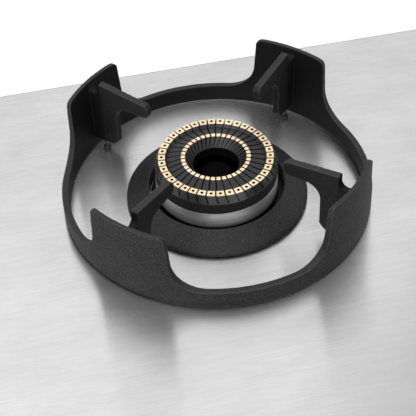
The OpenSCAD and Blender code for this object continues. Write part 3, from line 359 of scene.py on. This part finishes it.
def cast_iron():
    """Matt enamel over a sand-cast skin: lumps, grit, pale specks and edges lighter from wear and a painted
    highlight; painted light on faces that look up, and painted shade on inner faces, in the notches and in
    corners.
    """
    mat, tree, shader = new_material("iron_enamel")
    grit = noise(tree, coords(tree), 1000.0, detail=4.0, rough=0.65)
    lumps = noise(tree, coords(tree), 170.0, detail=3.0)
    broad = noise(tree, coords(tree), 18.0, detail=3.0)
    tone = weighted(tree, grit, 0.75, broad)
    base = blend_colors(tree, ramp(tree, tone, 0.40, 0.62), (0.005, 0.005, 0.0055), (0.044, 0.044, 0.045))
    speck = ramp(tree, noise(tree, coords(tree), 1100.0, detail=1.0), 0.64, 0.76)
    base = blend_colors(tree, speck, base, grey(0.095))
    shape = tree.nodes.new("ShaderNodeNewGeometry")
    # Edges: partly wear, partly painted highlight: sharp edges are painted lighter.
    worn_edge_highlight = ramp(tree, shape.outputs["Pointiness"], 0.515, 0.58, 0.0, 0.9)
    place, radius, height = polar(tree)
    upright = tree.nodes.new("ShaderNodeSeparateXYZ")
    tree.links.new(shape.outputs["True Normal"], upright.inputs[0])
    side = ramp(tree, math_node(tree, "ABSOLUTE", upright.outputs["Z"]), 0.35, 0.65, 1.0, 0.0)
    # Painted light: faces that look up are painted lighter.
    top = ramp(tree, upright.outputs["Z"], 0.6, 0.95, 0.0, 0.3)
    base = blend_colors(tree, top, base, (0.085, 0.085, 0.087))
    # Painted shade: side faces inside the ring, and faces that look at the burner, are painted darker.
    lug_in = ramp(tree, height, LUG_DRAFT_Z[0], LUG_DRAFT_Z[1], RING_IN_R, LUG_IN_R)
    within = math_node(tree, "LESS_THAN", radius, lug_in)
    inner = math_node(tree, "MULTIPLY", side, within)
    painted_inner_shade = math_node(tree, "MAXIMUM", inner, facing_in(tree, place))
    base = blend_colors(tree, math_node(tree, "MULTIPLY", painted_inner_shade, 0.6), base, (0.006, 0.006, 0.0065))
    base = blend_colors(tree, worn_edge_highlight, base, (0.11, 0.11, 0.112))
    # Painted shade: the notches between the arms and the lugs are painted near black.
    painted_notch_shade = math_node(tree, "MULTIPLY", math_node(tree, "GREATER_THAN", radius, NOTCH_R), within)
    base = blend_colors(tree, painted_notch_shade, base, (0.005, 0.005, 0.0055))
    # Painted shade: corners and crevices are painted darker.
    painted_corner_shade = ramp(tree, openness(tree, 0.018), 0.25, 0.75)
    tree.links.new(blend_colors(tree, painted_corner_shade, (0.004, 0.004, 0.0045), base), shader.inputs["Base Color"])
    tree.links.new(ramp(tree, grit, 0.3, 0.7, 0.66, 0.50), shader.inputs["Roughness"])
    low = bump(tree, lumps, 0.0006, 0.25)
    tree.links.new(bump(tree, grit, 0.0003, 0.55, low), shader.inputs["Normal"])
    shader.inputs["Specular IOR Level"].default_value = 0.18
    return mat


def crown_finish():
    """Black enamel on the crown, painted paler on its slotted flank as a painted sheen and near black as
    painted shade on its band, in its eye and in its slots; bare brass on the two rings of lands.
    """
    mat, tree, shader = new_material("crown_enamel")
    place, radius, height = polar(tree)
    land = math_node(tree, "GREATER_THAN", height, CROWN_LAND)
    flank = math_node(tree, "MULTIPLY", math_node(tree, "GREATER_THAN", height, CROWN_BAND),
                      math_node(tree, "GREATER_THAN", radius, CROWN_FLANK_R))
    band = math_node(tree, "MULTIPLY", math_node(tree, "LESS_THAN", height, CROWN_BAND),
                     math_node(tree, "GREATER_THAN", radius, CROWN_EYE_R))
    grit = noise(tree, place, 1100.0, detail=3.0)
    smear = noise(tree, place, 60.0, detail=4.0)
    tone = ramp(tree, grit, 0.35, 0.7)
    black = blend_colors(tree, tone, (0.010, 0.010, 0.0115), (0.034, 0.0345, 0.038))
    # Painted sheen: the slotted flank is painted paler than the rest of the enamel.
    painted_flank_sheen = blend_colors(tree, tone, (0.026, 0.026, 0.027), (0.062, 0.062, 0.064))
    black = blend_colors(tree, flank, black, painted_flank_sheen)
    # Painted shade: the band under the flank is painted near black.
    black = blend_colors(tree, band, black, (0.003, 0.003, 0.0035))
    # Painted shade: inside the eye is painted near black.
    painted_eye_shade = math_node(tree, "LESS_THAN", radius, CROWN_HOLE_R)
    black = blend_colors(tree, painted_eye_shade, black, grey(0.0015))
    # Painted shade: the slots and ports are painted near black.
    slots = ramp(tree, openness(tree, 0.0022), 0.3, 0.8)
    black = blend_colors(tree, slots, grey(0.001), black)
    gold = blend_colors(tree, ramp(tree, smear, 0.35, 0.65), (0.94, 0.74, 0.48), (1.0, 0.86, 0.63))
    tree.links.new(blend_colors(tree, land, black, gold), shader.inputs["Base Color"])
    tree.links.new(land, shader.inputs["Metallic"])
    matt = ramp(tree, grit, 0.3, 0.7, 0.5, 0.38)
    for mask, change in ((land, -0.06), (flank, -0.17), (band, 0.35)):
        matt = math_node(tree, "MULTIPLY_ADD", mask, change, matt)
    tree.links.new(matt, shader.inputs["Roughness"])
    tree.links.new(bump(tree, grit, 0.0002, 0.3), shader.inputs["Normal"])
    shader.inputs["Specular IOR Level"].default_value = 0.4
    return mat


def speckled_enamel():
    """Matt black enamel full of fine pale specks."""
    mat, tree, shader = new_material("skirt_enamel")
    grit = noise(tree, coords(tree), 900.0, detail=4.0, rough=0.6)
    base = blend_colors(tree, ramp(tree, grit, 0.36, 0.66), (0.006, 0.006, 0.0065), (0.028, 0.028, 0.029))
    speck = ramp(tree, noise(tree, coords(tree), 1500.0, detail=1.0), 0.62, 0.74)
    tree.links.new(blend_colors(tree, speck, base, grey(0.11)), shader.inputs["Base Color"])
    tree.links.new(ramp(tree, grit, 0.3, 0.7, 0.56, 0.44), shader.inputs["Roughness"])
    tree.links.new(bump(tree, grit, 0.00025, 0.45), shader.inputs["Normal"])
    shader.inputs["Specular IOR Level"].default_value = 0.3
    return mat


def burnt_enamel_and_shade():
    """Black enamel of the cap in the burner's eye, dulled by the flame and painted near black as painted
    shade deep in the eye.
    """
    mat, tree, shader = new_material("cap_enamel")
    grit = noise(tree, coords(tree), 700.0, detail=4.0, rough=0.6)
    # Painted shade: the cap's enamel is painted near black.
    base = blend_colors(tree, ramp(tree, grit, 0.36, 0.66), grey(0.001), (0.0035, 0.0035, 0.004))
    tree.links.new(base, shader.inputs["Base Color"])
    tree.links.new(ramp(tree, grit, 0.3, 0.7, 0.85, 0.75), shader.inputs["Roughness"])
    tree.links.new(bump(tree, grit, 0.0002, 0.4), shader.inputs["Normal"])
    shader.inputs["Specular IOR Level"].default_value = 0.05
    return mat


def turned_alloy():
    """Turned aluminium with fine rings round the burner's axis, painted dark below the skirt's lip as painted
    shade.
    """
    mat, tree, shader = new_material("cup_alloy", 1.0)
    place, radius, height = polar(tree)
    join = tree.nodes.new("ShaderNodeCombineXYZ")
    per_metre = 2500.0
    for socket, value in zip(join.inputs, (radius, height)):
        tree.links.new(math_node(tree, "MULTIPLY", value, per_metre), socket)
    rings = noise(tree, join.outputs[0], 1.0, detail=2.0)
    cloud = noise(tree, coords(tree, (1.0, 1.0, 14.0)), 55.0, detail=4.0)
    tone = weighted(tree, cloud, 0.6, rings)
    bare = blend_colors(tree, ramp(tree, tone, 0.34, 0.66), (0.50, 0.50, 0.505), (0.78, 0.78, 0.785))
    # Painted shade: the cup is painted near black below the skirt's lip.
    painted_gap_shade = ramp(tree, height, CUP_SHADE_LOW, CUP_SHADE_HIGH)
    tree.links.new(blend_colors(tree, painted_gap_shade, grey(0.02), bare), shader.inputs["Base Color"])
    tree.links.new(ramp(tree, rings, 0.3, 0.7, 0.42, 0.52), shader.inputs["Roughness"])
    tree.links.new(bump(tree, rings, 0.00008, 0.35), shader.inputs["Normal"])
    return mat


# Plain finishes by slot: darker and lighter shade, range of roughness, and what differs from the defaults
PLAIN_FINISHES = {
    "foam": ((grey(0.02), grey(0.05)), (0.85, 0.95), {"grain": 900.0, "depth": 0.0004, "strength": 0.6}),
    "zinc_sheet": (((0.42, 0.43, 0.44), (0.60, 0.61, 0.62)), (0.32, 0.48),
                   {"metallic": 1.0, "grain": 90.0, "depth": 0.00005}),
    "zinc_screw": (((0.55, 0.55, 0.53), (0.74, 0.74, 0.72)), (0.25, 0.38), {"metallic": 1.0, "grain": 700.0}),
    "cast_alloy": (((0.40, 0.40, 0.41), (0.56, 0.56, 0.57)), (0.42, 0.58),
                   {"metallic": 1.0, "grain": 650.0, "depth": 0.0002, "strength": 0.4}),
    "brass": (((0.62, 0.44, 0.18), (0.82, 0.62, 0.30)), (0.24, 0.38), {"metallic": 1.0, "grain": 500.0}),
    "fibre": (((0.48, 0.45, 0.38), (0.62, 0.59, 0.52)), (0.8, 0.95),
              {"grain": 1200.0, "depth": 0.0002, "strength": 0.5}),
    "ceramic": (((0.78, 0.76, 0.70), (0.86, 0.85, 0.80)), (0.22, 0.34), {"grain": 500.0}),
    "steel_wire": (((0.38, 0.38, 0.39), (0.55, 0.55, 0.56)), (0.28, 0.42), {"metallic": 1.0, "grain": 900.0}),
    "copper": (((0.60, 0.28, 0.16), (0.78, 0.42, 0.26)), (0.28, 0.42), {"metallic": 1.0, "grain": 600.0}),
    "rubber": ((grey(0.012), grey(0.03)), (0.6, 0.75), {"grain": 900.0}),
    "knob_metal": ((grey(0.52), grey(0.70)), (0.26, 0.36),
                   {"metallic": 1.0, "grain": 60.0, "stretch": (1.0, 20.0, 20.0)}),
    "black_plastic": (((0.015, 0.015, 0.016), (0.035, 0.035, 0.037)), (0.42, 0.56), {"grain": 1300.0}),
    "white_plastic": (((0.66, 0.66, 0.63), (0.76, 0.76, 0.73)), (0.38, 0.5), {"grain": 1100.0}),
    "red_plastic": (((0.42, 0.05, 0.04), (0.56, 0.09, 0.07)), (0.36, 0.48), {"grain": 1100.0}),
    "spark_sleeve": (((0.03, 0.03, 0.034), (0.07, 0.07, 0.075)), (0.5, 0.62), {"grain": 700.0}),
    "mains_sheath": ((grey(0.52), grey(0.66)), (0.4, 0.52), {"grain": 700.0}),
}

MATERIALS = {
    "stainless": stainless(),
    "iron_enamel": cast_iron(),
    "crown_enamel": crown_finish(),
    "cup_alloy": turned_alloy(),
    "skirt_enamel": speckled_enamel(),
}
for slot_name, (shades, rough, rest) in PLAIN_FINISHES.items():
    MATERIALS[slot_name] = finish(slot_name, shades, rough, **rest)


# The CAD nodes take their slot's material, and some take broken edges: pieces by the edge's width in metres

EASED = {
    0.0003: ("knob_bezel", "cord_gland", "foot_pads", "clamp_front_left", "clamp_front_right",
             "clamp_back_left", "clamp_back_right", "clamp_screws", "clamp_brackets"),
    0.0004: ("gas_inlet", "inlet_nut", "terminal_block"),
    0.0005: ("control_knob", "burner_cup", "centre_cap", "burner_skirt", "valve_body", "ignition_module"),
}
EASED_ANGLE = math.radians(35.0)


def dress_nodes():
    slots = {row["node"]: row["material_slot"] for row in frame["record"]["subparts"]}
    for name, piece in nodes.items():
        piece.data.materials.clear()
        piece.data.materials.append(MATERIALS[slots[name]])
    # The cap in the eye takes enamel painted near black as painted shade.
    nodes["centre_cap"].data.materials[0] = burnt_enamel_and_shade()
    pin_steel = finish("pin_steel", (grey(0.05), grey(0.13)), (0.4, 0.55), 1.0, grain=900.0)
    nodes["foot_pins"].data.materials[0] = pin_steel


def weld(piece):
    step = piece.modifiers.new("weld", "WELD")
    step.merge_threshold = 0.00001


def soften(piece, voxel, rounds):
    """Rounds a casting's edges: a fine remesh, then a light smoothing."""
    weld(piece)
    mesh_step = piece.modifiers.new("remesh", "REMESH")
    mesh_step.mode = "VOXEL"
    mesh_step.voxel_size = voxel
    mesh_step.use_smooth_shade = True
    smooth_step = piece.modifiers.new("smooth", "SMOOTH")
    smooth_step.factor = 0.5
    smooth_step.iterations = rounds


def ease(piece, width):
    """Breaks the sharp edges of a machined or moulded piece."""
    weld(piece)
    step = piece.modifiers.new("bevel", "BEVEL")
    step.width = width
    step.segments = 2
    step.limit_method = "ANGLE"
    step.angle_limit = EASED_ANGLE


# Fine pieces

def add_piece(name, mesh, material, body, smooth=True):
    mesh.materials.append(MATERIALS[material])
    for face in mesh.polygons:
        face.use_smooth = smooth
    piece = bpy.data.objects.new(name, mesh)
    scene.collection.objects.link(piece)
    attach(piece, body)
    return piece


def tube_mesh(name, points, radius, sides=10):
    """A closed tube along a line of points, with frames carried along it."""
    last = len(points) - 1
    forward = [(points[min(k + 1, last)] - points[max(k - 1, 0)]).normalized() for k in range(len(points))]
    side = forward[0].orthogonal().normalized()
    verts, faces = [], []
    for k, point in enumerate(points):
        side = (side - forward[k] * side.dot(forward[k])).normalized()
        other = forward[k].cross(side)
        for j in range(sides):
            angle = 2 * math.pi * j / sides
            verts.append(point + radius * (math.cos(angle) * side + math.sin(angle) * other))
    for k in range(len(points) - 1):
        for j in range(sides):
            a, b = k * sides + j, k * sides + (j + 1) % sides
            faces.append((a, b, b + sides, a + sides))
    faces.append(tuple(reversed(range(sides))))
    faces.append(tuple(range(len(verts) - sides, len(verts))))
    mesh = bpy.data.meshes.new(name)
    mesh.from_pydata(verts, [], faces)
    return mesh


def add_spring():
    """The return spring's coil, in place of the plain sleeve."""
    low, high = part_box("return_spring")
    wire = 0.0006
    radius = (high[0] - low[0]) / 2 - wire
    base, top = low[2] + wire, high[2] - wire
    turns, flat_end, steps = 4.5, 0.75, 32
    count = int(turns * steps)
    points = []
    for k in range(count + 1):
        angle = 2 * math.pi * k / steps
        rise = min(max((k / steps - flat_end) / (turns - 2 * flat_end), 0.0), 1.0)
        height = base + rise * (top - base)
        points.append(Vector((radius * math.cos(angle), KNOB_Y + radius * math.sin(angle), height)))
    coil = add_piece("return_coil", tube_mesh("return_coil", points, wire), "steel_wire", "hob")
    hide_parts("return_spring")
    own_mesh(coil)


def add_scale():
    """Plain marks on the plate round the knob: a dot for off and a tapering arc for the flame's size."""
    verts, faces = [], []
    low, high = PLATE_TOP - MARK_SINK, PLATE_TOP + MARK_RISE

    def add_band(outline):
        first = len(verts)
        count = len(outline)
        for z in (low, high):
            verts.extend((x, KNOB_Y + y, z) for x, y in outline)
        faces.append(tuple(first + count + k for k in range(count)))
        for k in range(count):
            after = (k + 1) % count
            faces.append((first + k, first + after, first + count + after, first + count + k))

    dot_sides, arc_steps = 24, 60
    round_dot = [math.radians(360 // dot_sides * k) for k in range(dot_sides)]
    add_band([(MARK_HALF * math.cos(angle), SCALE_R + MARK_HALF * math.sin(angle)) for angle in round_dot])
    for k in range(arc_steps):
        outline = []
        for step, side in ((k, 1), (k + 1, 1), (k + 1, -1), (k, -1)):
            share = step / arc_steps
            angle = math.radians(ARC_FROM + ARC_SWEEP * share)
            reach = SCALE_R + side * (MARK_HALF * (1 - share) + ARC_TIP)
            outline.append((reach * math.cos(angle), reach * math.sin(angle)))
        add_band(outline)
    mesh = bpy.data.meshes.new("knob_scale")
    mesh.from_pydata(verts, [], faces)
    add_piece("knob_scale", mesh, "black_plastic", "hob", smooth=False)


add_camera()
add_world()
add_floor()
for lamp_name, (lamp_place, lamp_size, lamp_power) in LAMPS.items():
    add_area(lamp_name, lamp_place, lamp_size, lamp_power)
dress_nodes()
soften(nodes["pan_support"], IRON_VOXEL, IRON_ROUNDS)
for width, names in EASED.items():
    for name in names:
        ease(nodes[name], width)
add_spring()
add_scale()

scene.view_settings.view_transform = "Standard"
